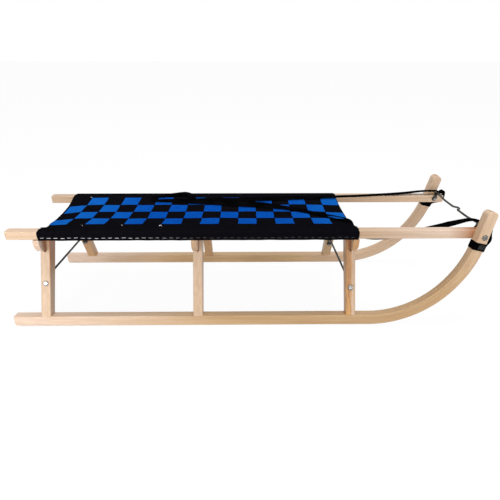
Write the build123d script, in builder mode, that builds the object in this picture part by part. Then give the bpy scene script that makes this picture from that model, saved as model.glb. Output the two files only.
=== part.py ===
from build123d import *
from math import sin, cos, tan, acos, atan2, radians, degrees, pi
import os

os.makedirs("parts", exist_ok=True)

# A wooden horn toboggan.  +X is the front, +Z is up, the ground is Z = 0, and the
# sled is the same on both sides of the XZ plane but for its pull strap.
# All sizes are in millimetres and degrees.

# ---- driving sizes --------------------------------------------------------------
length = 1098.0          # rear of the runners to the strap's fold in front of the rails
runner_half = 177.2      # sled centre to the outer bottom edge of a runner
runner_w = 23.3          # runner bar, across the sled
runner_t = 24.0          # runner bar, sole to top
cant = 4.3               # inward lean of each runner
bend_back = 262.0        # the sole leaves the ground this far behind the front
bend_r1 = 241.0          # sole radius of the first part of the bend
bend_a1 = 48.0           # turned at that radius
bend_r2 = 258.0          # sole radius of the second part
bend_a2 = 30.2           # turned at that radius
horn_len = 73.5          # straight horn above the bend
tip_round = 10.0
heel_round = 7.0
runner_ease = 1.2        # planed off its long edges
shoe_t = 2.0             # steel strip under each runner
shoe_w = 15.0
shoe_back = 9.0          # it starts this far in from the heel
shoe_up = 54.0           # and follows the bend this far round

rail_w = 23.6            # side rails, across the sled
rail_h = 18.7
rail_bite = 0.7          # depth of the flat on each horn that it lies against
rail_z = 207.7           # underside of the rails
rail_short = 6.0         # their rear ends ahead of the runners' heels
rail_round = 5.0
rail_chamfer = 1.0

leg_w = 22.3             # legs, along the sled
rear_leg = 76.5          # middle of the rear legs ahead of the heels
front_leg = 308.6        # middle of the front legs behind the front
middle_back = 2.0        # the middle legs stand this far behind midway
leg_out_top = 42.1       # legs' outer faces at the yokes' top, in from the rails' outer faces
leg_in_top = 75.4        # and their inner faces: the legs taper downwards
leg_ease = 1.2           # planed off their long edges

yoke_t = 14.0            # yoke boards, along the sled
yoke_h = 35.7            # at the legs
yoke_arch = 20.0         # rise of the arch between them
arch_in = 4.0            # the arch starts this far in from the legs
yoke_round = 27.0        # rounding of their lower outer corners
yoke_ease = 1.2          # planed off round their outline

cloth_t = 2.0            # seat cloth
seat_rear_in = 2.5       # its rear edge ahead of the rear legs' middle
seat_front_out = 8.6     # its front edge ahead of the front legs' middle
seat_sag = 8.0
rear_bow = 12.0          # its ends are drawn in this far midway between the rails
front_bow = 10.0

bolt_back = 28.5         # horn bolts behind the front
bolt_up = 1.5            # and above the rails' middle
bolt_r = 2.5
hole_clear = 0.3         # round every bolt shank
head_r = 6.5
head_h = 3.2
head_sunk = 0.8          # heads drawn into the wood
nut_r = 4.7
nut_h = 4.0
thread_past = 2.0        # thread showing past the nut
brace_bolt_z = {"rear": 99.0, "front": 87.5}   # heads on the legs

rod_r = 2.5              # braces and pull bar
eye_r = 6.5              # their flattened ends
eye_t = 2.5
rod_off = 2.8            # rod's centre line off the wood its eyes lie on
neck = 6.5               # eye centre to where the round rod starts
eye_taper = 5.0          # past that, the flattened end narrows to the rod's width
brace_rise = 14.0        # level part of a brace above its bolt heads
brace_shift = 4.0        # and its plane, from the legs' middle towards the sled's
bar_ahead = 4.5          # pull bar ahead of its bolts
bar_up = 17.0            # and above them
bar_dip = 4.5            # it is bent down this far
dip_half = 62.0          # between these places each side of the middle
bar_kink = 8.5           # its kink for the rope, forwards
kink_half = 13.0         # half the kink's width
bend_small = 4.0         # bends in the rods

screw_down = 1.0         # screw heads below the yokes' lower edges
screw_r = 2.0
screw_head_r = 3.4
screw_len = 34.0
screw_head_t = 1.0
screw_sunk = 2.6         # depth of their seats
screw_rise = 12.0        # driven upwards into the yoke at this slope

strap_w = 17.0           # webbing of the pull strap
strap_t = 2.0
tail_len = 17.0          # its sewn end on top of each rail
tail_round = 3.0
loop_gap = 1.5           # the loops on the horns hang this far under the rails

# The strap's free run, right-hand rail end to left-hand rail end: over the pull bar,
# hanging to the seat's front edge, across the seat, round a bight and back along the
# left rail.
strap_route = [
    (541.0, -118.3, 237.3), (533.0, -106.0, 247.3), (509.0, -96.0, 247.5),
    (470.0, -94.0, 238.0), (415.0, -98.0, 218.0), (355.0, -98.0, 203.0),
    (303.0, -93.0, 197.0), (276.0, -85.0, 208.0), (260.0, -76.0, 223.0),
    (241.0, -64.0, 237.0), (216.0, -47.0, 233.5), (181.0, -21.0, 230.6),
    (111.0, 26.0, 230.0), (45.0, 42.5, 230.8), (-35.0, 50.0, 231.1),
    (-108.0, 66.5, 232.3), (-158.0, 70.0, 232.6), (-192.0, 73.0, 232.8),
    (-218.0, 74.5, 233.0), (-242.0, 77.5, 233.4), (-257.0, 84.5, 234.1),
    (-263.0, 100.0, 236.1), (-256.0, 115.5, 237.6), (-240.0, 121.0, 237.9),
    (-211.0, 113.0, 237.5), (-180.0, 93.0, 235.1), (-125.0, 89.5, 234.6),
    (-50.0, 86.0, 234.1), (30.0, 91.0, 234.7), (110.0, 93.0, 235.0),
    (185.0, 97.5, 235.5), (240.0, 101.5, 237.0), (310.0, 109.0, 236.3),
    (385.0, 120.0, 236.6), (440.0, 126.5, 236.4), (480.0, 127.6, 239.4),
    (506.0, 126.3, 240.6), (531.7, 127.0, 237.3)]

# ---- figures that follow from them -------------------------------------------------
sin_c, cos_c = sin(radians(cant)), cos(radians(cant))
inset = (runner_w - shoe_w) / 2
lift = shoe_t * cos_c - inset * sin_c     # puts the strips' lowest edges on Z = 0
rear_x = -length / 2
front_x = length / 2 - strap_t            # front ends of the rails
rail_rear = rear_x + rail_short
bend_start = length / 2 - bend_back
bolt_x = length / 2 - bolt_back
rear_leg_x = rear_x + rear_leg
front_leg_x = length / 2 - front_leg
middle_leg_x = (rear_leg_x + front_leg_x) / 2 - middle_back
leg_xs = (("rear", rear_leg_x), ("middle", middle_leg_x), ("front", front_leg_x))
rail_mid_z = rail_z + rail_h / 2
rail_top = rail_z + rail_h
bolt_z = rail_mid_z + bolt_up
yoke_top = rail_z - cloth_t
yoke_low = yoke_top - yoke_h
screw_z = yoke_low - screw_down
sides = (("left", 1), ("right", -1))


def on_runner(u, v):
    """|Y| and Z of a point u in from a runner's outer face and v above its sole."""
    return (runner_half - u * cos_c - v * sin_c, lift + (runner_w - u) * sin_c + v * cos_c)


rail_out = on_runner(runner_w, (rail_mid_z - lift) / cos_c)[0] + rail_bite
rail_in = rail_out - rail_w
foot_out = on_runner(0, runner_t)
foot_in = on_runner(runner_w, runner_t)
run_out = foot_out[0] - (rail_out - leg_out_top), yoke_top - foot_out[1]
run_in = foot_in[0] - (rail_out - leg_in_top), yoke_top - foot_in[1]
leg_in_slope = degrees(atan2(*run_in))
sin_i, cos_i = sin(radians(leg_in_slope)), cos(radians(leg_in_slope))


def leg_outer(z):
    return foot_out[0] - (z - foot_out[1]) * run_out[0] / run_out[1]


def leg_inner(z):
    return foot_in[0] - (z - foot_in[1]) * run_in[0] / run_in[1]


def runner_wall(s):
    """The outer face of a runner, drawn in X and height above the sole."""
    y, z = on_runner(0, 0)
    return Plane(origin=(0, s * y, z), x_dir=(1, 0, 0), z_dir=(0, -cos_c, -s * sin_c))


def on_leg(x, s, z, sunk, slope):
    """A plane sunk into a leg's outer face, facing out along an axis at that slope."""
    c, n = cos(radians(slope)), sin(radians(slope))
    return Plane(origin=(x, s * (leg_outer(z) - sunk * c), z - sunk * n),
                 x_dir=(1, 0, 0), z_dir=(0, s * c, n))


head_face = on_runner(0, bolt_z)[0] - head_sunk   # |Y| of the horn bolt's seat


def across(s, y):
    """An upright plane at |Y| = y that faces out on side s."""
    return Plane(origin=(0, s * y, 0), x_dir=(1, 0, 0), z_dir=(0, s, 0))


# local axes of across(): X along the sled, second axis down on the left side
def on_across(s, x, z):
    return (x, -s * z)


for side, s in sides:
    wall = runner_wall(s)

    # runner: one steam-bent bar, standing up in front as the horn
    with BuildPart() as runner:
        with BuildSketch(wall):
            with BuildLine():
                sole = Line((rear_x, 0), (bend_start, 0))
                low = JernArc(sole @ 1, (1, 0), bend_r1, bend_a1)
                high = JernArc(low @ 1, low % 1, bend_r2, bend_a2)
                horn = Line(high @ 1, (high @ 1) + (high % 1) * horn_len)
                top = Line((rear_x, runner_t), (bend_start, runner_t))
                top_low = JernArc(top @ 1, (1, 0), bend_r1 - runner_t, bend_a1)
                top_high = JernArc(top_low @ 1, top_low % 1, bend_r2 - runner_t, bend_a2)
                back = Line(top_high @ 1, (top_high @ 1) + (top_high % 1) * horn_len)
                Line(horn @ 1, back @ 1)
                Line(sole @ 0, top @ 0)
            make_face()
        extrude(amount=s * runner_w)
        crosswise = runner.edges().filter_by(lambda e: abs(e.length - runner_w) < 0.01)
        fillet(crosswise.sort_by(Axis.Z)[-2:], tip_round)
        heel = runner.edges().filter_by(lambda e: abs(e.length - runner_w) < 0.01)
        fillet(heel.sort_by(Axis.X)[:2].sort_by(Axis.Z)[0], heel_round)
        chamfer(runner.faces().sort_by(SortBy.AREA)[-2:].edges(), runner_ease)
        # flat for the rail, level seat for the bolt head, and the bolt's hole
        with Locations((bolt_x, s * (rail_out - 10), rail_mid_z)):
            Box(4 * runner_t, 20, rail_h, mode=Mode.SUBTRACT)
        with BuildSketch(across(s, head_face)):
            with Locations(on_across(s, bolt_x, bolt_z)):
                Circle(head_r + hole_clear)
        extrude(amount=12, mode=Mode.SUBTRACT)
        with BuildSketch(across(s, head_face)):
            with Locations(on_across(s, bolt_x, bolt_z)):
                Circle(bolt_r + hole_clear)
        extrude(amount=-40, mode=Mode.SUBTRACT)
    name = f"runner_{side}"
    runner.part.label = name
    export_step(runner.part, f"parts/{name}.step")

    # steel strip along the sole
    with BuildPart() as shoe:
        with BuildSketch(wall.offset(s * inset)):
            with BuildLine():
                sole = Line((rear_x + shoe_back, 0), (bend_start, 0))
                low = JernArc(sole @ 1, (1, 0), bend_r1, bend_a1)
                high = JernArc(low @ 1, low % 1, bend_r2, shoe_up - bend_a1)
                under = Line((rear_x + shoe_back, -shoe_t), (bend_start, -shoe_t))
                under_low = JernArc(under @ 1, (1, 0), bend_r1 + shoe_t, bend_a1)
                under_high = JernArc(under_low @ 1, under_low % 1, bend_r2 + shoe_t,
                                     shoe_up - bend_a1)
                Line(high @ 1, under_high @ 1)
                Line(sole @ 0, under @ 0)
            make_face()
        extrude(amount=s * shoe_w)
    name = f"shoe_{side}"
    shoe.part.label = name
    export_step(shoe.part, f"parts/{name}.step")

    # side rail, lying against the inside of the horn
    with BuildPart() as rail:
        with Locations(((front_x + rail_rear) / 2, s * (rail_out - rail_w / 2), rail_mid_z)):
            Box(front_x - rail_rear, rail_w, rail_h)
        fillet(rail.edges().filter_by(Axis.Z), rail_round)
        chamfer(rail.faces().filter_by(Axis.Z).edges(), rail_chamfer)
        with BuildSketch(across(s, rail_in)):
            with Locations(on_across(s, bolt_x, bolt_z)):
                Circle(bolt_r + hole_clear)
        extrude(amount=rail_w, mode=Mode.SUBTRACT)
    name = f"rail_{side}"
    rail.part.label = name
    export_step(rail.part, f"parts/{name}.step")

    # dome-headed bolt through horn, rail and the pull bar's eye, with its nut
    eye_face = rail_in - eye_t
    shank = head_face - eye_face + nut_h + thread_past
    with BuildPart() as bolt:
        with Locations(across(s, head_face)):
            with Locations((*on_across(s, bolt_x, bolt_z), 0)):
                Cylinder(head_r, head_h, align=(Align.CENTER, Align.CENTER, Align.MIN))
                Cylinder(bolt_r, shank, align=(Align.CENTER, Align.CENTER, Align.MAX))
        crown = bolt.faces().sort_by(Axis.Y)[-1 if s > 0 else 0]
        fillet(crown.edges(), head_h - 0.3)
        with BuildSketch(across(s, eye_face)):
            with Locations(on_across(s, bolt_x, bolt_z)):
                RegularPolygon(nut_r, 6)
        extrude(amount=-nut_h)
    name = f"horn_bolt_{side}"
    bolt.part.label = name
    export_step(bolt.part, f"parts/{name}.step")

    # sewn end of the pull strap: a loop round the horn under the rail, up the rail's
    # front end and folded back over its top
    turn_x = bend_start + (bend_r1 - bend_r2) * sin(radians(bend_a1))
    turn_v = bend_r1 - (bend_r1 - bend_r2) * cos(radians(bend_a1))
    loop_a = degrees(strap_w / (bend_r2 - runner_t / 2))
    under_rail = (rail_z - loop_gap - lift) / cos_c
    loop_low = degrees(acos((turn_v - under_rail) / (bend_r2 - runner_t - strap_t))) - loop_a
    tail_y = rail_out - rail_w / 2
    with BuildPart() as loop:
        with BuildSketch(wall) as band:
            with BuildLine():
                front = CenterArc((turn_x, turn_v), bend_r2 + strap_t, loop_low - 90, loop_a)
                rear = CenterArc((turn_x, turn_v), bend_r2 - runner_t - strap_t,
                                 loop_low - 90, loop_a)
                Line(front @ 0, rear @ 0)
                Line(front @ 1, rear @ 1)
            make_face()
        extrude(amount=s * (runner_w + strap_t))
        extrude(band.sketch, amount=-s * strap_t)
        with BuildSketch(wall):
            with BuildLine():
                front = CenterArc((turn_x, turn_v), bend_r2, loop_low - 91, loop_a + 2)
                rear = CenterArc((turn_x, turn_v), bend_r2 - runner_t,
                                 loop_low - 91, loop_a + 2)
                Line(front @ 0, rear @ 0)
                Line(front @ 1, rear @ 1)
            make_face()
        extrude(amount=s * runner_w, mode=Mode.SUBTRACT)
        with BuildSketch(across(s, tail_y + strap_w / 2)):
            with BuildLine():
                Polyline(*[on_across(s, x, z) for x, z in (
                    (front_x - tail_len, rail_top), (front_x, rail_top),
                    (front_x, rail_z - 1), (front_x + strap_t, rail_z - 1),
                    (front_x + strap_t, rail_top + strap_t),
                    (front_x - tail_len, rail_top + strap_t))], close=True)
            make_face()
        extrude(amount=-strap_w)
        fold = loop.edges().filter_by(Axis.Y).sort_by_distance(
            (front_x + strap_t, s * tail_y, rail_top + strap_t))[0]
        fillet(fold, tail_round)
        # slanting piece from the loop's front up to the rail's end
        a = radians(loop_low + loop_a * 0.45)
        y_loop, z_loop = on_runner(runner_w / 2, turn_v - (bend_r2 + strap_t / 2) * cos(a))
        x_loop = turn_x + (bend_r2 + strap_t / 2) * sin(a)
        with BuildSketch(Plane(origin=(x_loop, s * y_loop, z_loop), x_dir=(0, 1, 0),
                               z_dir=(cos(a), 0, sin(a)))):
            Rectangle(strap_w, strap_t)
        with BuildSketch(Plane(origin=(front_x + strap_t / 2, s * tail_y, rail_z - 0.5),
                               x_dir=(0, 1, 0), z_dir=(0, 0, 1))):
            Rectangle(strap_w, strap_t)
        loft()
    name = f"strap_loop_{side}"
    loop.part.label = name
    export_step(loop.part, f"parts/{name}.step")

# ---- trestles: a yoke board on two splayed legs, halved together ------------------
for place, x in leg_xs:
    x_yoke = x + leg_w / 2 - yoke_t if place == "front" else x - leg_w / 2
    arch_y = leg_inner(yoke_low) - arch_in
    flat_y = rail_out - yoke_round
    with BuildPart() as yoke:
        with BuildSketch(Plane.YZ.offset(x_yoke)):
            with BuildLine():
                Line((-rail_out, yoke_top), (rail_out, yoke_top))
                left_end = Line((rail_out, yoke_top), (rail_out, yoke_low + yoke_round))
                JernArc(left_end @ 1, (0, -1), yoke_round, -90)
                Line((flat_y, yoke_low), (arch_y, yoke_low))
                ThreePointArc((arch_y, yoke_low), (0, yoke_low + yoke_arch),
                              (-arch_y, yoke_low))
                Line((-arch_y, yoke_low), (-flat_y, yoke_low))
                right_end = Line((-rail_out, yoke_top), (-rail_out, yoke_low + yoke_round))
                JernArc(right_end @ 1, (0, -1), yoke_round, 90)
            make_face()
        extrude(amount=yoke_t)
        blank = yoke.part
        chamfer(yoke.faces().filter_by(Axis.X).edges(), yoke_ease)
        for _, s in sides:
            screw_seat = on_leg(x, s, screw_z, screw_sunk, -screw_rise)
            with BuildSketch(screw_seat):
                Circle(screw_head_r)
            extrude(amount=10, mode=Mode.SUBTRACT)
            with BuildSketch(screw_seat):
                Circle(screw_r)
            extrude(amount=-screw_len, mode=Mode.SUBTRACT)
    name = f"yoke_{place}"
    yoke.part.label = name
    export_step(yoke.part, f"parts/{name}.step")

    for side, s in sides:
        screw_seat = on_leg(x, s, screw_z, screw_sunk, -screw_rise)
        with BuildPart() as leg:
            with BuildSketch(Plane.YZ.offset(x - leg_w / 2)):
                with BuildLine():
                    Polyline((s * foot_out[0], foot_out[1]), (s * foot_in[0], foot_in[1]),
                             (s * leg_inner(yoke_top), yoke_top),
                             (s * leg_outer(yoke_top), yoke_top), close=True)
                make_face()
            extrude(amount=leg_w)
            long_edges = leg.edges().filter_by(lambda e: e.length > 2 * leg_in_top)
            chamfer(long_edges, leg_ease)
            add(blank, mode=Mode.SUBTRACT)
            with BuildSketch(screw_seat):
                Circle(screw_head_r)
            extrude(amount=10, mode=Mode.SUBTRACT)
            with BuildSketch(screw_seat):
                Circle(screw_r)
            extrude(amount=-screw_len, mode=Mode.SUBTRACT)
            if place in brace_bolt_z:
                head_seat = on_leg(x, s, brace_bolt_z[place], head_sunk, leg_in_slope)
                with BuildSketch(head_seat):
                    Circle(head_r + hole_clear)
                extrude(amount=5, mode=Mode.SUBTRACT)
                with BuildSketch(head_seat):
                    Circle(bolt_r + hole_clear)
                extrude(amount=-50, mode=Mode.SUBTRACT)
        name = f"leg_{place}_{side}"
        leg.part.label = name
        export_step(leg.part, f"parts/{name}.step")

        # screw through the leg into the yoke
        with BuildPart() as screw:
            with Locations(screw_seat):
                Cylinder(screw_head_r, screw_head_t, align=(Align.CENTER, Align.CENTER, Align.MIN))
                Cylinder(screw_r, screw_len - 2, align=(Align.CENTER, Align.CENTER, Align.MAX))
        name = f"yoke_screw_{place}_{side}"
        screw.part.label = name
        export_step(screw.part, f"parts/{name}.step")

    if place not in brace_bolt_z:
        continue

    # brace rod between the two legs, its ends turned down and flattened into eyes
    z_head = brace_bolt_z[place]
    y_head = leg_outer(z_head)
    depth = (y_head - leg_inner(z_head)) * cos_i
    y_eye, z_eye = y_head - depth * cos_i, z_head - depth * sin_i


    def by_leg(along, off):
        """|Y| and Z of a point up the leg's inner face from the eye, and off that face."""
        return (y_eye - along * sin_i - off * cos_i, z_eye + along * cos_i - off * sin_i)


    x_rod = x + (brace_shift if x < 0 else -brace_shift)
    z_rod = z_head + brace_rise
    knee = by_leg((z_rod - z_eye + rod_off * sin_i) / cos_i, rod_off)
    ends = by_leg(neck, rod_off), by_leg(neck + 10, rod_off)
    with BuildPart() as brace:
        with BuildLine() as run:
            FilletPolyline((x, ends[0][0], ends[0][1]), (x_rod, ends[1][0], ends[1][1]),
                           (x_rod, knee[0], knee[1]), (x_rod, -knee[0], knee[1]),
                           (x_rod, -ends[1][0], ends[1][1]), (x, -ends[0][0], ends[0][1]),
                           radius=bend_small)
        with BuildSketch(Plane(origin=run.line @ 0, z_dir=run.line % 0)):
            Circle(rod_r)
        sweep(path=run.line)
        for _, s in sides:
            face = Plane(origin=(x, s * y_eye, z_eye), x_dir=(1, 0, 0),
                         z_dir=(0, -s * cos_i, -sin_i))
            with BuildSketch(face):
                Circle(eye_r)
                with Locations(((x_rod - x) * eye_taper / 10, s * (neck + eye_taper))):
                    Circle(rod_r)
                make_hull()
            extrude(amount=eye_t)
            with BuildSketch(face):
                Circle(bolt_r + hole_clear)
            extrude(amount=eye_t + 4, mode=Mode.SUBTRACT)
    name = f"brace_{place}"
    brace.part.label = name
    export_step(brace.part, f"parts/{name}.step")

    for side, s in sides:
        head_seat = on_leg(x, s, z_head, head_sunk, leg_in_slope)
        nut_at = depth - head_sunk + eye_t
        with BuildPart() as bolt:
            with Locations(head_seat):
                Cylinder(head_r, head_h, align=(Align.CENTER, Align.CENTER, Align.MIN))
                Cylinder(bolt_r, nut_at + nut_h + thread_past,
                         align=(Align.CENTER, Align.CENTER, Align.MAX))
            crown = bolt.faces().sort_by(Axis((0, 0, 0), (0, s * cos_i, sin_i)))[-1]
            fillet(crown.edges(), head_h - 0.3)
            with BuildSketch(head_seat.offset(-nut_at)):
                RegularPolygon(nut_r, 6)
            extrude(amount=-nut_h)
        name = f"brace_bolt_{place}_{side}"
        bolt.part.label = name
        export_step(bolt.part, f"parts/{name}.step")

# ---- pull bar between the horns, kinked forward in the middle for the rope ---------
bar_x, bar_z = bolt_x + bar_ahead, bolt_z + bar_up
low_z = bar_z - bar_dip
to_bar = Vector(bar_ahead, 0, bar_up)
start = Vector(bolt_x, 0, bolt_z) + to_bar.normalized() * neck
bar_y = rail_in - rod_off
half = [(start.X, bar_y, start.Z), (bar_x, bar_y, bar_z), (bar_x, dip_half, low_z),
        (bar_x, kink_half, low_z), (bar_x + bar_kink, kink_half / 3, low_z)]
with BuildPart() as bar:
    with BuildLine() as run:
        FilletPolyline(*half, *[(x, -y, z) for x, y, z in reversed(half)],
                       radius=bend_small)
    with BuildSketch(Plane(origin=run.line @ 0, z_dir=run.line % 0)):
        Circle(rod_r)
    sweep(path=run.line)
    taper = to_bar.normalized() * (neck + eye_taper)
    for _, s in sides:
        with BuildSketch(across(s, rail_in)):
            with Locations(on_across(s, bolt_x, bolt_z)):
                Circle(eye_r)
            with Locations(on_across(s, bolt_x + taper.X, bolt_z + taper.Z)):
                Circle(rod_r)
            make_hull()
        extrude(amount=-eye_t)
        with BuildSketch(across(s, rail_in)):
            with Locations(on_across(s, bolt_x, bolt_z)):
                Circle(bolt_r + hole_clear)
        extrude(amount=-eye_t - 4, mode=Mode.SUBTRACT)
bar.part.label = "pull_bar"
export_step(bar.part, "parts/pull_bar.step")

# ---- seat: one cloth with a sleeve round each rail, sagging a little between -------
cloth_top = rail_top + cloth_t
seat_rear = rear_leg_x + seat_rear_in
seat_front = front_leg_x + seat_front_out
with BuildPart() as seat:
    with BuildSketch(Plane.YZ.offset(seat_rear)):
        for _, s in sides:
            with Locations((s * (rail_out - rail_w / 2), rail_mid_z)):
                Rectangle(rail_w + 2 * cloth_t, rail_h + 2 * cloth_t)
        with BuildLine():
            ThreePointArc((-rail_in, cloth_top), (0, cloth_top - seat_sag),
                          (rail_in, cloth_top))
            Line((rail_in, cloth_top), (rail_in, rail_top))
            ThreePointArc((rail_in, rail_top), (0, rail_top - seat_sag),
                          (-rail_in, rail_top))
            Line((-rail_in, rail_top), (-rail_in, cloth_top))
        make_face()
        for _, s in sides:
            with Locations((s * (rail_out - rail_w / 2), rail_mid_z)):
                Rectangle(rail_w, rail_h, mode=Mode.SUBTRACT)
    extrude(amount=seat_front - seat_rear)
    with BuildSketch(Plane.XY.offset(rail_z)):
        for end, bow in ((seat_rear, rear_bow), (seat_front, -front_bow)):
            with BuildLine():
                drawn_in = ThreePointArc((end, -rail_in), (end + bow, 0), (end, rail_in))
                Line(drawn_in @ 0, drawn_in @ 1)
            make_face()
    extrude(amount=2 * rail_h, mode=Mode.SUBTRACT)
seat.part.label = "seat"
export_step(seat.part, "parts/seat.step")

# ---- the strap's free run, a plain tube as wide as the webbing ----------------------
points = [Vector(*p) for p in strap_route]
runs = [b - a for a, b in zip(points, points[1:])]
radii = []
for a, b in zip(runs, runs[1:]):
    turn = radians(a.get_angle(b))
    radii.append(0.45 * min(a.length, b.length) / tan(turn / 2))
print("strap radii", [round(r) for r in radii])
print("strap runs", [round(r.length) for r in runs])
with BuildPart() as strap:
    with BuildLine() as route:
        FilletPolyline(*points, radius=radii)
    with BuildSketch(Plane(origin=route.line @ 0, z_dir=route.line % 0)):
        Circle(strap_w / 2)
    sweep(path=route.line)
run_length = sum(e.length for e in route.edges())
volume = pi * (strap_w / 2) ** 2 * run_length
print("strap length", round(run_length), "volume ratio",
      round(strap.part.volume / volume, 4))
strap.part.label = "pull_strap"
export_step(strap.part, "parts/pull_strap.step")
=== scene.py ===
from math import cos, exp, floor, pi, radians, sin, sqrt
from random import Random

import bpy
from mathutils import Matrix, Vector, noise


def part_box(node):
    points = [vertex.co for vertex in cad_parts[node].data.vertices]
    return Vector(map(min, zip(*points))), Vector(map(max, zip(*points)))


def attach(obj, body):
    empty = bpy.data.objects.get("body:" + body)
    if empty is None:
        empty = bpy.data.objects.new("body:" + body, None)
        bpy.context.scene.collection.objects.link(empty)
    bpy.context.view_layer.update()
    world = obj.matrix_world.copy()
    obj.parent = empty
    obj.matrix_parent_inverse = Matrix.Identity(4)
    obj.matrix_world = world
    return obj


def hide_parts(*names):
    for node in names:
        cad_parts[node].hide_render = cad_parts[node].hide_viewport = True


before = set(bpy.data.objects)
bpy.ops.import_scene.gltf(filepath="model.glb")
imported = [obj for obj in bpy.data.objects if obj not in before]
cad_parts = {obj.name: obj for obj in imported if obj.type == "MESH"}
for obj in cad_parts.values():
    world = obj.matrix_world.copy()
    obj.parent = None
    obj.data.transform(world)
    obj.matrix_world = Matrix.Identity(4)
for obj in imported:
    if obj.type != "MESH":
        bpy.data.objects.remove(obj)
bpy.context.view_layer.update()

# ---- Runners ------------------------------------------------------------------------
# Two beech bars about 24 mm square, steamed and bent in one sweep from the sole up into
# a standing horn.  Planed, edges taken off, one coat of clear satin varnish.

turn_x, turn_z = 0.2870, 0.2434      # middle of the bend's circle, seen from the side
turn_radius = 0.2410                 # from there to the sole
horn_turn = radians(78.2)            # the bar has turned this far where the horn starts


def colour(red, green, blue):
    """A colour as the eye reads it, 0 to 255, turned into light."""
    parts = [value / 255 for value in (red, green, blue)]
    return [p / 12.92 if p <= 0.04045 else ((p + 0.055) / 1.055) ** 2.4 for p in parts] + [1]


def add_node(tree, kind, inputs=(), **settings):
    """One shader node with its settings; an input is a value or another node's socket."""
    node = tree.nodes.new(kind)
    for key, value in settings.items():
        setattr(node, key, value)
    for key, value in dict(inputs).items():
        if isinstance(value, bpy.types.NodeSocket):
            tree.links.new(value, node.inputs[key])
        else:
            node.inputs[key].default_value = value
    return node


def reckon(tree, operation, *values):
    """One sum on shader values."""
    return add_node(tree, "ShaderNodeMath", enumerate(values), operation=operation).outputs[0]


def between(tree, value, low, high, start=0.0, end=1.0):
    """A value's way from low to high, as a smooth step from start to end."""
    step = add_node(tree, "ShaderNodeMapRange", {0: value, 1: low, 2: high, 3: start, 4: end},
                    interpolation_type="SMOOTHSTEP")
    return step.outputs[0]


def stretched(tree, place, *factors):
    """A place with each of its three parts multiplied."""
    product = add_node(tree, "ShaderNodeVectorMath", {0: place, 1: factors}, operation="MULTIPLY")
    return product.outputs[0]


def mottle(tree, place, scale=1.0, detail=2.0, roughness=0.5, distortion=0.0):
    """Cloudy noise about 0.5."""
    inputs = {"Vector": place, "Scale": scale, "Detail": detail, "Roughness": roughness,
              "Distortion": distortion}
    return add_node(tree, "ShaderNodeTexNoise", inputs).outputs["Fac"]


def blended(tree, share, one, other, manner="MIX"):
    """Two colours mixed."""
    mix = add_node(tree, "ShaderNodeMix", {0: share, 6: one, 7: other}, data_type="RGBA",
                   blend_type=manner)
    return mix.outputs[2]


def finish(tree, base, roughness, relief=None, depth=0.0002):
    """Ties colour, roughness and relief to the material's own shader."""
    shader = tree.nodes["Principled BSDF"]
    tree.links.new(base, shader.inputs["Base Color"])
    tree.links.new(roughness, shader.inputs["Roughness"])
    if relief is not None:
        bump = add_node(tree, "ShaderNodeBump", {"Height": relief, "Distance": depth})
        tree.links.new(bump.outputs[0], shader.inputs["Normal"])
    return shader


def new_material(name):
    material = bpy.data.materials.new(name)
    material.use_nodes = True
    return material, material.node_tree


def spot(tree):
    """A point's place on the sled, in metres."""
    return add_node(tree, "ShaderNodeTexCoord").outputs["Object"]


def straight(turn, fibre):
    """Timber sawn straight: how its fibres are turned to lie along X, and which way they run."""
    def read(tree):
        place = add_node(tree, "ShaderNodeMapping", {"Vector": spot(tree), "Rotation": turn})
        return place.outputs[0], fibre
    return read


def bent(tree):
    """The runner's fibres follow its bend: along the bar, across it and through it."""
    x, y, z = add_node(tree, "ShaderNodeSeparateXYZ", {0: spot(tree)}).outputs
    ahead = reckon(tree, "SUBTRACT", x, turn_x)
    below = reckon(tree, "SUBTRACT", turn_z, z)
    turned = reckon(tree, "ARCTAN2", ahead, below)
    turned = reckon(tree, "MINIMUM", reckon(tree, "MAXIMUM", turned, 0.0), horn_turn)
    c, s = reckon(tree, "COSINE", turned), reckon(tree, "SINE", turned)
    along = reckon(tree, "SUBTRACT", reckon(tree, "MULTIPLY", ahead, c),
                   reckon(tree, "MULTIPLY", below, s))
    along = reckon(tree, "MULTIPLY_ADD", turned, turn_radius, along)
    through = reckon(tree, "ADD", reckon(tree, "MULTIPLY", ahead, s),
                     reckon(tree, "MULTIPLY", below, c))
    place = add_node(tree, "ShaderNodeCombineXYZ", {0: along, 1: y, 2: through}).outputs[0]
    fibre = add_node(tree, "ShaderNodeCombineXYZ", {0: c, 2: s}).outputs[0]
    return place, fibre


def along(tree, place, tones):
    """A colour that changes along the timber.  tones lists (place in metres, colour)."""
    first, last = tones[0][0], tones[-1][0]
    x = add_node(tree, "ShaderNodeSeparateXYZ", {0: place}).outputs[0]
    share = add_node(tree, "ShaderNodeMapRange", {0: x, 1: first, 2: last}).outputs[0]
    ramp = add_node(tree, "ShaderNodeValToRGB", {0: share})
    for i, (where, tone) in enumerate(tones):
        stop = (where - first) / (last - first)
        marks = ramp.color_ramp.elements
        mark = marks[i] if i < 2 else marks.new(stop)
        mark.position = stop
        mark.color = colour(*tone)
    return ramp.outputs[0]


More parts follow.
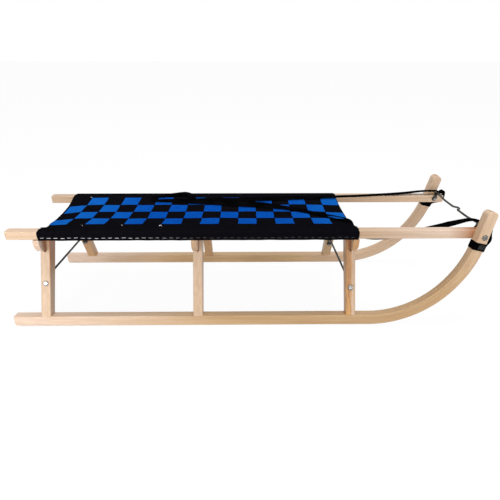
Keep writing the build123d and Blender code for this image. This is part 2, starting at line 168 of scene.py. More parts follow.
def beech(name, timber, tones, brown_and_shade=None, end_tone=(214, 196, 178)):
    """Varnished beech: long growth streaks, short dark flecks, browner where cut across.
    The last argument, if given, is a function of the shader tree that lays browns over the wood, partly
    painted shade."""
    material, tree = new_material(name)
    place, fibre = timber(tree)
    wander = mottle(tree, stretched(tree, place, 5, 14, 14), detail=1)
    aside = reckon(tree, "MULTIPLY", wander, 0.012)
    shift = add_node(tree, "ShaderNodeCombineXYZ", {1: aside, 2: aside}).outputs[0]
    grown = add_node(tree, "ShaderNodeVectorMath", {0: place, 1: shift}, operation="ADD").outputs[0]
    streak = mottle(tree, stretched(tree, grown, 4, 260, 260), detail=4, roughness=0.6)
    broad = mottle(tree, stretched(tree, place, 3, 30, 30), detail=2)
    fine = mottle(tree, stretched(tree, place, 60, 2200, 2200), detail=2)
    fleck = mottle(tree, stretched(tree, place, 420, 2600, 2600), detail=1)
    tone = reckon(tree, "MULTIPLY_ADD", streak, 0.65, reckon(tree, "MULTIPLY", broad, 0.35))
    wood = along(tree, place, tones) if len(tones) > 1 else colour(*tones[0][1])
    growth = blended(tree, between(tree, tone, 0.36, 0.66), colour(255, 255, 255), colour(236, 226, 214))
    wood = blended(tree, 1.0, wood, growth, "MULTIPLY")
    if brown_and_shade:
        wood = brown_and_shade(tree, wood, tone)
    dark = between(tree, fleck, 0.60, 0.70, 0.0, 0.25)
    wood = blended(tree, dark, wood, colour(150, 105, 70))
    normal = add_node(tree, "ShaderNodeNewGeometry").outputs["Normal"]
    facing = add_node(tree, "ShaderNodeVectorMath", {0: normal, 1: fibre}, operation="DOT_PRODUCT")
    cut_across = between(tree, reckon(tree, "ABSOLUTE", facing.outputs["Value"]), 0.75, 0.95)
    browned = blended(tree, 1.0, wood, colour(*end_tone), "MULTIPLY")
    wood = blended(tree, cut_across, wood, browned)
    dull = between(tree, fine, 0.3, 0.7, 0.42, 0.54)
    relief = reckon(tree, "MULTIPLY", reckon(tree, "ADD", streak, fine), 0.5)
    shader = finish(tree, wood, dull, relief, 0.00012)
    shader.inputs["Coat Weight"].default_value = 0.4
    shader.inputs["Coat Roughness"].default_value = 0.35
    return material


def dress(name, material):
    """Gives a CAD piece its finish."""
    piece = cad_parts[name]
    piece.data.materials.clear()
    piece.data.materials.append(material)


# The tones that beech has here, from pink-white sapwood to honey; the last, a deep brown, is painted
# shade.
pink_white = (235, 210, 190)
pale = (225, 195, 165)
wheat = (205, 175, 145)
tan = (205, 170, 125)
honey = (205, 160, 110)
shade_brown = (180, 115, 65)

# Each runner is pink-white at the heel, tan in the middle and pale again at the horn; the pale heel is
# partly the wood's tone and partly painted light that falls off towards the front.
# The places are metres along the bar, from where its bend starts.
runner_tones_and_light = {"right": ((-0.80, pink_white), (-0.35, tan), (0.20, tan), (0.40, pale)),
                "left": ((-0.80, pink_white), (-0.50, tan), (-0.15, tan), (0.00, pale))}
for side, tones in runner_tones_and_light.items():
    dress(f"runner_{side}", beech(f"runner beech {side}", bent, tones))

# ---- Shoes --------------------------------------------------------------------------
# Flat steel strip along each sole, 2 mm thick, drawn bright and scratched lengthwise by
# stones and ice.


def steel(name, pale, dark, dull, scratch=(2, 900, 900)):
    """Bare steel, drawn or plated, with fine marks along the given directions."""
    material, tree = new_material(name)
    place = spot(tree)
    marks = mottle(tree, stretched(tree, place, *scratch), detail=3, roughness=0.7)
    cloud = mottle(tree, stretched(tree, place, 60, 60, 60), detail=3)
    metal = blended(tree, between(tree, cloud, 0.35, 0.65), colour(*pale), colour(*dark))
    sheen = reckon(tree, "MULTIPLY_ADD", between(tree, marks, 0.3, 0.7), 0.14, dull)
    shader = finish(tree, metal, sheen, marks, 0.00004)
    shader.inputs["Metallic"].default_value = 1.0
    return material


shoe_steel = steel("shoe steel", (196, 196, 198), (150, 150, 154), 0.26)
for side in ("left", "right"):
    dress(f"shoe_{side}", shoe_steel)

# ---- Legs ---------------------------------------------------------------------------
# Six splayed beech legs, tapered towards the foot.  The right front leg is red-brown with a
# pale edge, and its top is painted darker as shade under the rail.  The right rear one has
# painted shade along its front side, dying out below the middle, and round its top.

leg_slope = radians(14.4)            # mean lean of a leg inwards
# The left legs, under the far side of the seat, are a deeper honey: partly the wood's tone, partly
# painted shade.
leg_tones_and_shade = {"right": {"rear": wheat, "middle": wheat, "front": wheat},
             "left": {"rear": honey, "middle": honey, "front": tan}}
front_leg_x = sum(corner[0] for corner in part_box("leg_front_right")) / 2
rear_leg_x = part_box("leg_rear_right")[1][0]


def rear_red_and_top_shade(tree, wood, tone):
    """Red-brown on the rear part of the leg's face, its edge wandering with height; near the top it
    spreads over the whole face and deepens to brown as painted shade under the rail and seat.
    """
    x, y, z = add_node(tree, "ShaderNodeSeparateXYZ", {0: spot(tree)}).outputs
    wave = mottle(tree, stretched(tree, spot(tree), 0, 0, 26), detail=2)
    edge = reckon(tree, "MULTIPLY_ADD", wave, 0.008, front_leg_x - 0.002)
    edge = reckon(tree, "ADD", edge, between(tree, z, 0.172, 0.185, 0.0, 0.02))
    inside = between(tree, reckon(tree, "SUBTRACT", edge, x), -0.0008, 0.0008)
    brown_and_shade = blended(tree, between(tree, tone, 0.4, 0.62), colour(200, 145, 75), colour(160, 105, 45))
    # painted shade: the top of the leg goes deep brown under the rail and seat
    red = between(tree, z, 0.165, 0.190, 0.0, 0.7)
    brown_and_shade = blended(tree, red, brown_and_shade, colour(*shade_brown))
    return blended(tree, inside, wood, brown_and_shade)


def front_side_and_top_shade(tree, wood, tone):
    """Painted shade: brown along the rear leg's front side, growing towards the seat, and round its top.
    """
    x, y, z = add_node(tree, "ShaderNodeSeparateXYZ", {0: spot(tree)}).outputs
    side = between(tree, x, rear_leg_x - 0.0030, rear_leg_x - 0.0008)
    side = reckon(tree, "MULTIPLY", side, between(tree, z, 0.080, 0.160, 0.0, 0.9))
    top = between(tree, z, 0.180, 0.205, 0.0, 0.8)
    return blended(tree, reckon(tree, "MAXIMUM", side, top), wood, colour(*shade_brown))


brown_and_shade_marks = {("front", "right"): rear_red_and_top_shade, ("rear", "right"): front_side_and_top_shade}
for side, s in (("left", 1), ("right", -1)):
    lie = straight((-s * leg_slope, pi / 2, 0), (0, -s * sin(leg_slope), cos(leg_slope)))
    for where, tone in leg_tones_and_shade[side].items():
        brown_and_shade = brown_and_shade_marks.get((where, side))
        dress(f"leg_{where}_{side}", beech(f"leg beech {where} {side}", lie, ((0, tone),), brown_and_shade))

# ---- Yokes --------------------------------------------------------------------------
# A board across each pair of legs, halved into them, its lower edge arched and its ends
# rounded.  Fibres run from side to side.

yoke_ends = {"rear": pink_white, "middle": wheat, "front": honey}
for where, end in yoke_ends.items():
    # painted shade: deep brown across each yoke's middle, under the seat; only the ends out past the
    # legs keep the wood's tone
    yoke_tones_and_shade = ((-0.130, end), (-0.120, shade_brown), (0.120, shade_brown), (0.130, end))
    dress(f"yoke_{where}", beech(f"yoke beech {where}", straight((0, 0, -pi / 2), (0, 1, 0)),
                                 yoke_tones_and_shade, end_tone=(250, 246, 242)))

# ---- Yoke screws ---------------------------------------------------------------------
# One countersunk screw through each leg into the yoke's end, zinc plated and gone grey.

grey_zinc = steel("grey zinc", (110, 108, 104), (70, 68, 66), 0.42, (300, 300, 300))
for where in ("rear", "middle", "front"):
    for side in ("left", "right"):
        dress(f"yoke_screw_{where}_{side}", grey_zinc)

# ---- Braces and their bolts ------------------------------------------------------------
# 5 mm steel rods with flattened eyes, from leg to leg, held by dome-headed bolts whose
# nuts lie inside.  The bolts are bright zinc plate.

rod_steel = steel("rod steel", (84, 82, 79), (48, 46, 45), 0.38, (500, 30, 500))
bright_zinc = steel("bright zinc", (168, 166, 164), (112, 110, 108), 0.10, (400, 400, 400))
for where in ("rear", "front"):
    dress(f"brace_{where}", rod_steel)
    for side in ("left", "right"):
        dress(f"brace_bolt_{where}_{side}", bright_zinc)

# ---- Rails ----------------------------------------------------------------------------
# Two straight beech bars on the yokes' ends, bolted against the inside of the horns.

# The right one is painted brown close behind its horn, a painted shadow of the horn; its pale rear end
# is partly the wood's tone and partly painted light.
rail_tones_and_shade = {"right": ((-0.54, pale), (0.26, wheat), (0.45, pink_white), (0.515, shade_brown)),
              "left": ((-0.54, wheat), (0.29, wheat), (0.45, pale))}
for side, tones in rail_tones_and_shade.items():
    dress(f"rail_{side}", beech(f"rail beech {side}", straight((0, 0, 0), (1, 0, 0)), tones))

# ---- Horn bolts and pull bar ------------------------------------------------------------
# One dome-headed bolt a side holds horn, rail and the eye of the pull bar, a 5 mm rod
# kinked forward in its middle to take a rope.

dress("pull_bar", rod_steel)
for side in ("left", "right"):
    dress(f"horn_bolt_{side}", bright_zinc)

# ---- Seat -------------------------------------------------------------------------------
# One piece of heavy cotton cloth, woven in black and blue checks between black borders.
# Its edges are turned round the rails into sleeves and sewn with thick white thread.

rail_low, rail_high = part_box("rail_right")
rail_outer, rail_inner = -rail_low[1], -rail_high[1]
rail_under, rail_over = rail_low[2], rail_high[2]
seat_low, seat_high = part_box("seat")
cloth = 0.0016                       # thickness
cloth_off = 0.0010                   # middle of the cloth, off the rail
seat_sag = 0.008
sleeve_round = 0.0035                # the cloth's bend over the rails' edges
# The end edges as sewn, a little askew: (Y, distance in from the end of the seat).
rear_edge = ((-0.125, 0.000), (-0.111, 0.011), (-0.060, 0.001), (0.000, -0.002), (0.045, -0.003),
             (0.077, -0.005), (0.112, -0.008))
front_edge = ((-0.130, 0.000), (-0.101, 0.003), (-0.072, 0.0065), (0.000, 0.0050), (0.083, 0.006),
              (0.126, 0.0055))


def cloth_line():
    """The cloth's way across the sled, from under the left rail over the seat to under the
    right rail, as (Y, Z) points about 3 mm apart."""
    half = []
    n = 34
    for i in range(n + 1):
        y = rail_inner * i / n
        half.append((y, rail_over + cloth_off - seat_sag * (1 - (y / rail_inner) ** 2)))
    outer, over, under = rail_outer + cloth_off, rail_over + cloth_off, rail_under - cloth_off - 0.0006
    inner = rail_inner - cloth_off
    for i in range(1, 7):
        half.append((rail_inner + (outer - sleeve_round - rail_inner) * i / 7, over))
    for cy, cz, start in ((outer - sleeve_round, over - sleeve_round, 90),
                          (outer - sleeve_round, under + sleeve_round, 0)):
        for i in range(6):
            a = radians(start - 90 * i / 5)
            half.append((cy + sleeve_round * cos(a), cz + sleeve_round * sin(a)))
        if start == 90:
            for i in range(1, 6):
                half.append((outer, over - sleeve_round + (under - over + 2 * sleeve_round) * i / 6))
    for i in range(1, 7):
        half.append((outer - sleeve_round + (inner + 0.002 - outer + sleeve_round) * i / 7, under))
    for i in range(5):
        a = radians(-90 - 90 * i / 4)
        half.append((inner + 0.002 + 0.002 * cos(a), under + 0.002 + 0.002 * sin(a)))
    for i in range(1, 6):
        half.append((inner, under + 0.002 + (over - 0.0025 - under - 0.002) * i / 5))
    return [(y, z) for y, z in reversed(half)] + [(-y, z) for y, z in half[1:]]


def along_table(table, y):
    """The value of a table at y, held level beyond its two ends."""
    for (y0, v0), (y1, v1) in zip(table, table[1:]):
        if y < y1:
            share = max(0.0, (y - y0) / (y1 - y0))
            return v0 + (v1 - v0) * share * share * (3 - 2 * share)
    return table[-1][1]


def cloth_mesh():
    line = cloth_line()
    away = [0.0]
    for (y0, z0), (y1, z1) in zip(line, line[1:]):
        away.append(away[-1] + sqrt((y1 - y0) ** 2 + (z1 - z0) ** 2))
    middle = away[len(line) // 2]
    columns = 180
    points, places = [], []
    for (y, z), a in zip(line, away):
        on_top = z > rail_over - 0.012 and (abs(y) < rail_inner or abs(y) > rail_inner and z > rail_over)
        across = y if on_top else rail_outer * (1 if y > 0 else -1)
        nip = 0.0022 * max(0.0, min(1.0, (rail_under + 0.007 - z) / 0.007)) ** 2
        if abs(y) > rail_outer - 0.006:
            nip += 0.0018 * max(0.0, min(1.0, (z - rail_over + 0.005) / 0.006)) ** 2
        rear = seat_low[0] + along_table(rear_edge, across) + nip
        front = seat_high[0] - along_table(front_edge, across) - nip
        hanging = max(0.0, 1 - (y / rail_inner) ** 2) if on_top else 0.0
        for i in range(columns + 1):
            x = rear + (front - rear) * i / columns
            loose = noise.noise(Vector((x * 14, y * 22, 0.3))) * 0.0009 * hanging
            loose -= hanging * 0.0050 * exp(-((x - rear) / 0.035) ** 2)
            loose -= hanging * 0.0035 * exp(-((front - x) / 0.045) ** 2)
            hem = max(0.0, (rail_under + 0.004 - z) / 0.004)
            wave = -0.0008 * hem * (0.5 + noise.noise(Vector((x * 30, 4.0 + (y > 0), 0.0))))
            points.append((x, y, z + loose + wave))
            places.append((x, middle - a))
    faces = []
    step = columns + 1
    for j in range(len(line) - 1):
        for i in range(columns):
            a = j * step + i
            faces.append((a, a + 1, a + step + 1, a + step))
    return points, faces, places


def make_piece(name, points, faces, places, material):
    """A mesh piece on the sled's body.  places gives each point's place in the cloth."""
    mesh = bpy.data.meshes.new(name)
    mesh.from_pydata(points, [], faces)
    if places:
        layer = mesh.uv_layers.new(name="woven")
        for loop in mesh.loops:
            layer.data[loop.index].uv = places[loop.vertex_index]
    mesh.polygons.foreach_set("use_smooth", [True] * len(mesh.polygons))
    mesh.materials.append(material)
    piece = bpy.data.objects.new(name, mesh)
    bpy.context.scene.collection.objects.link(piece)
    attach(piece, "root")
    return piece


check = 0.0444                       # side of one check
check_high = 0.0482                  # its side across the sled
check_start = -0.024                 # a column edge
row_start = -0.0885                  # edge of the lowest row
rows = 4
first_column, last_column = -10, 6   # no blue beyond these
column_gap, row_gap = 0.49, 0.475    # half a check's blue, as a share of its side
thread_pitch = 0.0011


def check_cloth(name):
    material, tree = new_material(name)
    place = add_node(tree, "ShaderNodeUVMap", uv_map="woven").outputs[0]
    drift = mottle(tree, stretched(tree, place, 30, 30, 0), detail=2)
    wobble = reckon(tree, "MULTIPLY_ADD", drift, 0.004, -0.002)
    x, y, _ = add_node(tree, "ShaderNodeSeparateXYZ", {0: place}).outputs
    column = reckon(tree, "SUBTRACT", reckon(tree, "ADD", x, wobble), check_start)
    column = reckon(tree, "DIVIDE", column, check)
    row = reckon(tree, "SUBTRACT", reckon(tree, "ADD", y, wobble), row_start)
    row = reckon(tree, "DIVIDE", row, check_high)
    odd = reckon(tree, "ADD", reckon(tree, "FLOOR", column), reckon(tree, "FLOOR", row))
    odd = reckon(tree, "FLOORED_MODULO", odd, 2.0)
    blue = reckon(tree, "LESS_THAN", odd, 0.5)
    inside = reckon(tree, "MULTIPLY", reckon(tree, "GREATER_THAN", row, 0.0),
                    reckon(tree, "LESS_THAN", row, rows))
    inside = reckon(tree, "MULTIPLY", inside, reckon(tree, "GREATER_THAN", column, first_column))
    inside = reckon(tree, "MULTIPLY", inside, reckon(tree, "LESS_THAN", column, last_column))
    for part, gap in ((column, column_gap), (row, row_gap)):
        off = reckon(tree, "ABSOLUTE", reckon(tree, "SUBTRACT", reckon(tree, "FRACT", part), 0.5))
        inside = reckon(tree, "MULTIPLY", inside, reckon(tree, "LESS_THAN", off, gap))
    blue = reckon(tree, "MULTIPLY", blue, inside)

    warp = reckon(tree, "DIVIDE", x, thread_pitch)
    weft = reckon(tree, "DIVIDE", y, thread_pitch)
    over = reckon(tree, "ADD", reckon(tree, "FLOOR", warp), reckon(tree, "FLOOR", weft))
    over = reckon(tree, "FLOORED_MODULO", over, 2.0)
    warp_top = reckon(tree, "ABSOLUTE", reckon(tree, "SINE", reckon(tree, "MULTIPLY", warp, pi)))
    weft_top = reckon(tree, "ABSOLUTE", reckon(tree, "SINE", reckon(tree, "MULTIPLY", weft, pi)))
    weave = reckon(tree, "ADD", reckon(tree, "MULTIPLY", warp_top, over),
                   reckon(tree, "MULTIPLY", weft_top, reckon(tree, "SUBTRACT", 1.0, over)))
    yarn = mottle(tree, stretched(tree, place, 40, 900, 0), detail=2)
    cross = mottle(tree, stretched(tree, place, 900, 40, 0), detail=2)
    yarn = reckon(tree, "MULTIPLY", reckon(tree, "ADD", yarn, cross), 0.5)
    dye_and_shading = blended(tree, between(tree, yarn, 0.38, 0.62), colour(12, 94, 202), colour(9, 75, 173))
    # painted light: the blue turns lighter towards both ends of the seat, where the cloth curves down
    off = reckon(tree, "ABSOLUTE", reckon(tree, "ADD", x, 0.08))
    dye_and_shading = blended(tree, between(tree, off, 0.14, 0.36, 0.0, 0.6), dye_and_shading, colour(26, 116, 212))
    black = blended(tree, between(tree, yarn, 0.38, 0.62), colour(13, 12, 16), colour(20, 19, 24))
    cloth_colour = blended(tree, blue, black, dye_and_shading)
    shade = between(tree, weave, 0.0, 0.9, 0.72, 1.0)
    grey = add_node(tree, "ShaderNodeCombineColor", {0: shade, 1: shade, 2: shade}).outputs[0]
    cloth_colour = blended(tree, 1.0, cloth_colour, grey, "MULTIPLY")
    dull = between(tree, yarn, 0.3, 0.7, 0.72, 0.9)
    shader = finish(tree, cloth_colour, dull, weave, 0.00025)
    shader.inputs["Specular IOR Level"].default_value = 0.0
    return material


points, faces, places = cloth_mesh()
seat = make_piece("seat_sheet", points, faces, places, check_cloth("check cloth"))
body = seat.modifiers.new("cloth thickness", "SOLIDIFY")
body.thickness = cloth
body.offset = 0
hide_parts("seat")

# Hem stitches, one long stitch every 15 mm along the outside of each sleeve.


def thread_piece(name, runs, radius, material):
    """Pieces of thread: each run is a short line of points, rounded off at both ends."""
    points, faces = [], []
    sides = 6
    for run in runs:
        run = [Vector(p) for p in run]
        start = len(points)
        for i, p in enumerate(run):
            ahead = (run[min(i + 1, len(run) - 1)] - run[max(i - 1, 0)]).normalized()
            across = ahead.cross(Vector((0, 0, 1))).normalized()
            up = across.cross(ahead)
            r = radius * (0.35 if i in (0, len(run) - 1) else 1.0)
            for k in range(sides):
                a = 2 * pi * k / sides
                points.append(p + across * (r * cos(a)) + up * (r * sin(a)))
        for i in range(len(run) - 1):
            for k in range(sides):
                a, b = start + i * sides + k, start + i * sides + (k + 1) % sides
                faces.append((a, b, b + sides, a + sides))
        faces.append(tuple(start + k for k in reversed(range(sides))))
        faces.append(tuple(start + (len(run) - 1) * sides + k for k in range(sides)))
    return make_piece(name, points, faces, None, material)


def cotton(name, pale, soiled, fading=None):
    """Cotton thread.  fading gives the places along the sled over which it turns dark grey."""
    material, tree = new_material(name)
    place = spot(tree)
    twist = mottle(tree, stretched(tree, place, 900, 900, 900), detail=2)
    dirt = mottle(tree, stretched(tree, place, 9, 9, 9), detail=3)
    thread = blended(tree, between(tree, dirt, 0.4, 0.62), colour(*pale), colour(*soiled))
    if fading:
        x = add_node(tree, "ShaderNodeSeparateXYZ", {0: place}).outputs[0]
        thread = blended(tree, between(tree, x, *fading), thread, colour(64, 66, 70))
    finish(tree, thread, between(tree, twist, 0.3, 0.7, 0.7, 0.9), twist, 0.0002)
    return material


stitch_pitch, stitch_long, stitch_z = 0.0151, 0.0098, 0.2123
white_cotton = cotton("white cotton", (236, 236, 236), (196, 196, 198), (-0.36, -0.06))
chance = Random(11)
runs = []
for s in (-1, 1):
    x = seat_low[0] + 0.006
    while x + stitch_long < seat_high[0] - 0.004:
        long = stitch_long + chance.uniform(-0.0008, 0.0008)
        z = stitch_z + chance.uniform(-0.0006, 0.0006)
        tip = z + chance.uniform(-0.0005, 0.0005)
        face = rail_outer + cloth_off + cloth / 2
        run = []
        for i in range(6):
            t = i / 5
            lift = 0.0004 * sin(pi * t) - 0.0002
            run.append((x + long * t, s * (face + lift), z + (tip - z) * t))
        runs.append(run)
        x += stitch_pitch
thread_piece("hem_stitches", runs, 0.0005, white_cotton)

# Loose ends of the white thread, snipped off short on top of the cloth.

snips = []
for x, y, turns, reach in ((-0.2904, -0.1022, 1, 0.0016), (-0.2007, -0.1090, 5, 0.0034),
                           (-0.3803, -0.1050, 1, 0.0014), (-0.4268, 0.1021, 2, 0.0022)):
    top = rail_over + cloth_off + cloth / 2 - seat_sag * max(0.0, 1 - (y / rail_inner) ** 2)
    snip = []
    for i in range(turns + 2):
        away = reach * (1 - 0.12 * i)
        snip.append((x + away * cos(1.1 * i), y + 1.5 * away * sin(1.1 * i), top + 0.0004 + 0.0006 * i))
    snips.append(snip)
thread_piece("thread_ends", snips, 0.0006, cotton("loose cotton", (244, 244, 244), (225, 225, 225)))

# ---- Pull strap ---------------------------------------------------------------------------
# One length of flat black polyester webbing, 17 mm wide.  It leaves the right rail's end,
# goes over the pull bar, hangs to the seat, crosses it, turns back in a tight bight and
# returns along the left rail.

strap_wide, strap_thick = 0.017, 0.0018
# Each entry is a point of its course and how far it leans there, in degrees.
strap_course = [
    ((0.5410, -0.1190, 0.2373), 0), ((0.5310, -0.1060, 0.2456), 0), ((0.5150, -0.0940, 0.2446), -8),
    ((0.4860, -0.0890, 0.2326), -20), ((0.4500, -0.0970, 0.2262), -20), ((0.4150, -0.0960, 0.2178), -14),
    ((0.3550, -0.0970, 0.2040), 0), ((0.3030, -0.0950, 0.1970), 0), ((0.2700, -0.0900, 0.1990), 0),
    ((0.2500, -0.0790, 0.2060), 0), ((0.2450, -0.0710, 0.2300), 8), ((0.2350, -0.0615, 0.2330), 20),
    ((0.2160, -0.0470, 0.2325), 16), ((0.1810, -0.0210, 0.2306), 0), ((0.1110, 0.0240, 0.2300), -10),
    ((0.0450, 0.0370, 0.2308), -38), ((-0.0350, 0.0460, 0.2311), -38), ((-0.1080, 0.0630, 0.2323), -30),
    ((-0.1580, 0.0690, 0.2326), -15), ((-0.1920, 0.0765, 0.2330), -12), ((-0.2180, 0.0785, 0.2332), -8),
    ((-0.2400, 0.0800, 0.2338), 0), ((-0.2560, 0.0860, 0.2343), 0), ((-0.2560, 0.0980, 0.2361), 0),
    ((-0.2340, 0.1090, 0.2376), 0), ((-0.1970, 0.1150, 0.2379), 12), ((-0.1690, 0.1160, 0.2380), 24),
    ((-0.1520, 0.1050, 0.2368), 16), ((-0.1490, 0.0880, 0.2350), 6), ((-0.1390, 0.0780, 0.2344), 6),
    ((-0.1220, 0.0800, 0.2344), 10), ((-0.0980, 0.0830, 0.2344), 12), ((-0.0400, 0.0780, 0.2340), 14),
    ((0.0300, 0.0830, 0.2345), 16), ((0.1100, 0.0900, 0.2350), 12), ((0.1850, 0.0975, 0.2357), 5),
    ((0.2400, 0.1015, 0.2370), 0),
    ((0.3100, 0.1090, 0.2363), 0), ((0.3850, 0.1200, 0.2370), 0), ((0.4400, 0.1265, 0.2384), 0),
    ((0.4800, 0.1276, 0.2428), -3), ((0.5060, 0.1266, 0.2445), -4), ((0.5317, 0.1266, 0.2440), -4)]


def smooth_line(name, points):
    """The points that a smooth curve with these control points passes through."""
    data = bpy.data.curves.new(name, "CURVE")
    data.dimensions = "3D"
    data.resolution_u = 12
    spline = data.splines.new("NURBS")
    spline.points.add(len(points) - 1)
    for place, p in zip(spline.points, points):
        place.co = (*p, 1)
    spline.order_u = 3
    spline.use_endpoint_u = True
    guide = bpy.data.objects.new(name, data)
    drawn = bpy.data.meshes.new_from_object(guide)
    line = [v.co.copy() for v in drawn.vertices]
    bpy.data.objects.remove(guide)
    bpy.data.meshes.remove(drawn)
    return line


def at_share(values, share):
    """A value part of the way along a list, the list's entries evenly spaced."""
    k = share * (len(values) - 1)
    i = min(int(floor(k)), len(values) - 2)
    t = k - i
    return values[i] + (values[i + 1] - values[i]) * t


def heading(line, i):
    """The direction in which a line goes at its point i."""
    return (line[min(i + 1, len(line) - 1)] - line[max(i - 1, 0)]).normalized()


def leaning(line, leans):
    """The direction across webbing that leans by those degrees from lying level."""
    directions = []
    for i, lean in enumerate(leans):
        ahead = heading(line, i)
        level = Vector((0, 0, 1)).cross(ahead).normalized()
        up = ahead.cross(level)
        directions.append(level * cos(radians(lean)) + up * sin(radians(lean)))
    return directions


def webbing_mesh(line, across, wide, thick, closed=False):
    """Flat webbing along a line, its edges rounded.  Returns points, faces and the place of
    each point in the weave, in metres across and along."""
    ring = []
    for i in range(9):
        ring.append((-wide / 2 + thick * 0.4 + (wide - thick * 0.8) * i / 8, thick / 2))
    ring.append((wide / 2, 0))
    for i in range(9):
        ring.append((wide / 2 - thick * 0.4 - (wide - thick * 0.8) * i / 8, -thick / 2))
    ring.append((-wide / 2, 0))
    points, faces, places = [], [], []
    gone = 0.0
    n, count = len(ring), len(line)
    for i, p in enumerate(line):
        if i:
            gone += (p - line[i - 1]).length
        ahead = (line[(i + 1) % count] - line[i - 1]).normalized() if closed else heading(line, i)
        face = ahead.cross(across[i]).normalized()
        for u, v in ring:
            points.append(p + across[i] * u + face * v)
            places.append((u, gone))
    for i in range(count if closed else count - 1):
        for k in range(n):
            a, b = i * n + k, i * n + (k + 1) % n
            c, d = (i + 1) % count * n + (k + 1) % n, (i + 1) % count * n + k
            faces.append((a, b, c, d))
    if not closed:
        faces.append(tuple(reversed(range(n))))
        faces.append(tuple(range((count - 1) * n, count * n)))
    return points, faces, places


def webbing(name):
    """Black polyester webbing: fine ribs across, warp threads along."""
    material, tree = new_material(name)
    place = add_node(tree, "ShaderNodeUVMap", uv_map="woven").outputs[0]
    u, v, _ = add_node(tree, "ShaderNodeSeparateXYZ", {0: place}).outputs
    rib = reckon(tree, "ABSOLUTE", reckon(tree, "SINE", reckon(tree, "MULTIPLY", v, pi / 0.0012)))
    warp = reckon(tree, "ABSOLUTE", reckon(tree, "SINE", reckon(tree, "MULTIPLY", u, pi / 0.0014)))
    weave = reckon(tree, "MULTIPLY", rib, reckon(tree, "MULTIPLY_ADD", warp, 0.5, 0.5))
    worn = mottle(tree, stretched(tree, place, 60, 25, 0), detail=3)
    dye_and_shading = blended(tree, between(tree, worn, 0.35, 0.68), colour(5, 5, 6), colour(12, 12, 14))
    # painted shade: darker in the grooves between the ribs
    dye_and_shading = blended(tree, between(tree, weave, 0.0, 0.5, 0.5, 0.0), dye_and_shading, colour(2, 2, 3))
    shader = finish(tree, dye_and_shading, between(tree, weave, 0.0, 1.0, 0.85, 0.6), weave, 0.0003)
    shader.inputs["Specular IOR Level"].default_value = 0.0
    return material


black_webbing = webbing("black webbing")
course = smooth_line("strap course", [point for point, lean in strap_course])
strap_leans = [at_share([lean for point, lean in strap_course], i / (len(course) - 1))
               for i in range(len(course))]
strap_line = []
for p, lean in zip(course, strap_leans):
    fall = (strap_wide - strap_thick) / 2 * (1 - abs(sin(radians(lean))))
    strap_line.append(p - Vector((0, 0, fall)))
points, faces, places = webbing_mesh(strap_line, leaning(strap_line, strap_leans), strap_wide,
                                     strap_thick)
strap = make_piece("pull_strap_webbing", points, faces, places, black_webbing)
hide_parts("pull_strap")

# ---- Strap ends ---------------------------------------------------------------------------
# The webbing's end is drawn round each horn under the rail and sewn to itself with grey
# thread.  From there it rises to the rail's front end and folds back over the top.

cant = radians(4.3)                  # a runner leans inwards by this
ring_turn = radians(76.5)            # the horn's slope where the webbing goes round it
bend_x, bend_z, bend_r = 0.2744, 0.2524, 0.2460     # the upper bend, down to the bar's middle
bar_wide, bar_thick = 0.0233, 0.0240
ring_wide = {"left": 0.0145, "right": 0.0180}
ring_thick = 0.0015


def horn_frame(s):
    """The middle of the horn where the webbing goes round it, and its directions: up the
    bar, outwards from the sled and forwards out of the bend."""
    drop = bend_r * cos(ring_turn)
    inward = runner_outer - bar_wide / 2 * cos(cant) - (bend_z - drop) * sin(cant)
    middle = Vector((bend_x + bend_r * sin(ring_turn), s * inward, sole_z + (bend_z - drop) * cos(cant)))
    up = Vector((cos(ring_turn), -s * sin(ring_turn) * sin(cant), sin(ring_turn) * cos(cant)))
    out = Vector((0, s * cos(cant), sin(cant)))
    front = Vector((sin(ring_turn), s * cos(ring_turn) * sin(cant), -cos(ring_turn) * cos(cant)))
    return middle, up, out, front


def round_bar(middle, out, front, off):
    """A closed way round the bar, off its faces by that much, with rounded corners."""
    a, b, r = bar_wide / 2 + off, bar_thick / 2 + off, 0.0024
    way = []
    for side_out, side_front, start in ((1, 1, 0), (-1, 1, 90), (-1, -1, 180), (1, -1, 270)):
        for k in range(5):
            t = radians(start + 90 * k / 4)
            way.append(middle + out * (side_out * (a - r) + r * cos(t))
                       + front * (side_front * (b - r) + r * sin(t)))
    return way


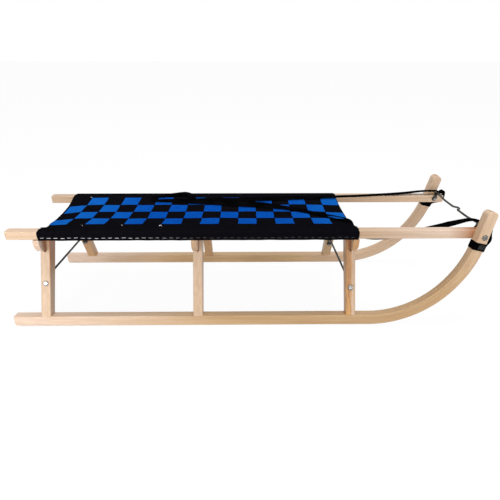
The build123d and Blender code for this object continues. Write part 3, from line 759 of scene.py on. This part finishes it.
runner_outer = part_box("runner_left")[1][1]
sole_z = 0.0017
rail_middle = (rail_outer + rail_inner) / 2
rail_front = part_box("rail_left")[1][0]
fold_top = {"left": 0.2375, "right": 0.2300}
tacks = []
for side, s in (("left", 1), ("right", -1)):
    middle, up, out, front = horn_frame(s)
    way = round_bar(middle, out, front, ring_thick / 2 + 0.0002)
    points, faces, places = webbing_mesh(way, [up] * len(way), ring_wide[side], ring_thick, closed=True)
    ring = make_piece(f"strap_ring_{side}", points, faces, places, black_webbing)
    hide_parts(f"strap_loop_{side}")

    top = fold_top[side]
    rise = smooth_line(f"strap rise {side}", [
        middle + front * 0.0132 - up * 0.004, middle + front * 0.0145 + up * 0.004,
        Vector((rail_front + 0.0005, s * (rail_middle + 0.010), rail_under - 0.003)),
        Vector((rail_front + 0.0020, s * rail_middle, rail_under + 0.008)),
        Vector((rail_front + 0.0020, s * rail_middle, top - 0.004)),
        Vector((rail_front + 0.0002, s * rail_middle, top)),
        Vector((rail_front - 0.0060, s * rail_middle, top - 0.001)),
        Vector((rail_front - 0.0120, s * rail_middle, rail_over + 0.0035)),
        Vector((rail_front - 0.0185, s * rail_middle, rail_over + 0.0020))])
    level = [Vector((0, 1, 0))] * len(rise)
    points, faces, places = webbing_mesh(rise, level, strap_wide, 2 * strap_thick)
    make_piece(f"strap_fold_{side}", points, faces, places, black_webbing)

    # a bar of stitches on the ring's outer face
    for k in range(6):
        at = middle + out * (bar_wide / 2 + ring_thick + 0.0003) + front * (-0.0035 + 0.0024 * k)
        half = ring_wide[side] * 0.36
        tacks.append([at + up * (half * (2 * i / 4 - 1)) + front * (0.0008 * (2 * i / 4 - 1))
                      for i in range(5)])
grey_thread = cotton("grey thread", (120, 118, 116), (84, 82, 80))
thread_piece("strap_tacks", tacks, 0.00035, grey_thread)

# ---- Floor, light and camera ----------------------------------------------------------------
# A white floor that keeps a soft shadow, a wide lamp overhead, one in front and two small
# ones near the ends, in a white room.  The camera is a metre away, above the seat.


def white_ground(name):
    material, tree = new_material(name)
    ray = add_node(tree, "ShaderNodeLightPath").outputs
    seen = reckon(tree, "MAXIMUM", ray["Is Camera Ray"],
                  reckon(tree, "MAXIMUM", ray["Is Glossy Ray"], ray["Is Transmission Ray"]))
    glow = add_node(tree, "ShaderNodeEmission", {"Color": (1, 1, 1, 1), "Strength": 1.06})
    matt = add_node(tree, "ShaderNodeBsdfDiffuse", {"Color": (0.6, 0.6, 0.6, 1)})
    share = reckon(tree, "MULTIPLY", seen, 0.9)
    mix = add_node(tree, "ShaderNodeMixShader", {0: share})
    tree.links.new(matt.outputs[0], mix.inputs[1])
    tree.links.new(glow.outputs[0], mix.inputs[2])
    tree.links.new(mix.outputs[0], tree.nodes["Material Output"].inputs["Surface"])
    return material


floor_half = 30.0
floor_mesh = bpy.data.meshes.new("floor")
corners = [(x * floor_half, y * floor_half, 0) for x, y in ((-1, -1), (1, -1), (1, 1), (-1, 1))]
floor_mesh.from_pydata(corners, [], [(0, 1, 2, 3)])
floor_mesh.materials.append(white_ground("white ground"))
ground = bpy.data.objects.new("floor", floor_mesh)
bpy.context.scene.collection.objects.link(ground)


def lamp(name, place, aim, size, power, spread=180):
    data = bpy.data.lights.new(name, "AREA")
    data.shape = "DISK"
    data.size = size
    data.energy = power
    data.spread = radians(spread)
    light = bpy.data.objects.new(name, data)
    light.location = place
    light.rotation_euler = (Vector(aim) - Vector(place)).to_track_quat("-Z", "Y").to_euler()
    bpy.context.scene.collection.objects.link(light)


lamp("overhead", (0.1, 0.1, 3.0), (0.05, 0, 0.1), 1.8, 46)
lamp("front", (0.2, -2.9, 1.05), (0, 0, 0.1), 1.2, 24)
lamp("key", (-0.75, -1.1, 0.45), (-0.5, -0.15, 0.1), 0.5, 1.5, 90)
lamp("fill", (0.95, -1.2, 0.5), (0.52, -0.1, 0.2), 0.5, 0.75, 90)

room_light = 0.38                    # the room's light on the sled; where seen it is white
world = bpy.data.worlds.new("room")
bpy.context.scene.world = world
world.use_nodes = True
tree = world.node_tree
ray = add_node(tree, "ShaderNodeLightPath").outputs
seen = reckon(tree, "MAXIMUM", ray["Is Camera Ray"],
              reckon(tree, "MAXIMUM", ray["Is Glossy Ray"], ray["Is Transmission Ray"]))
strength = reckon(tree, "MULTIPLY_ADD", seen, 1 - room_light, room_light)
tree.links.new(strength, tree.nodes["Background"].inputs["Strength"])
tree.nodes["Background"].inputs["Color"].default_value = (1, 1, 1, 1)

lens = bpy.data.cameras.new("camera")
lens.sensor_width = 36.0
lens.lens = 30.31
camera = bpy.data.objects.new("camera", lens)
look_down, look_aside, tilt = radians(25.253), radians(0.667), radians(0.082)
camera.matrix_world = (Matrix.Translation((-0.00616, -1.00334, 0.589))
                       @ Matrix.Rotation(-look_aside, 4, "Z")
                       @ Matrix.Rotation(pi / 2 - look_down, 4, "X")
                       @ Matrix.Rotation(tilt, 4, "Z"))
bpy.context.scene.collection.objects.link(camera)
bpy.context.scene.camera = camera
bpy.context.scene.view_settings.view_transform = "Standard"
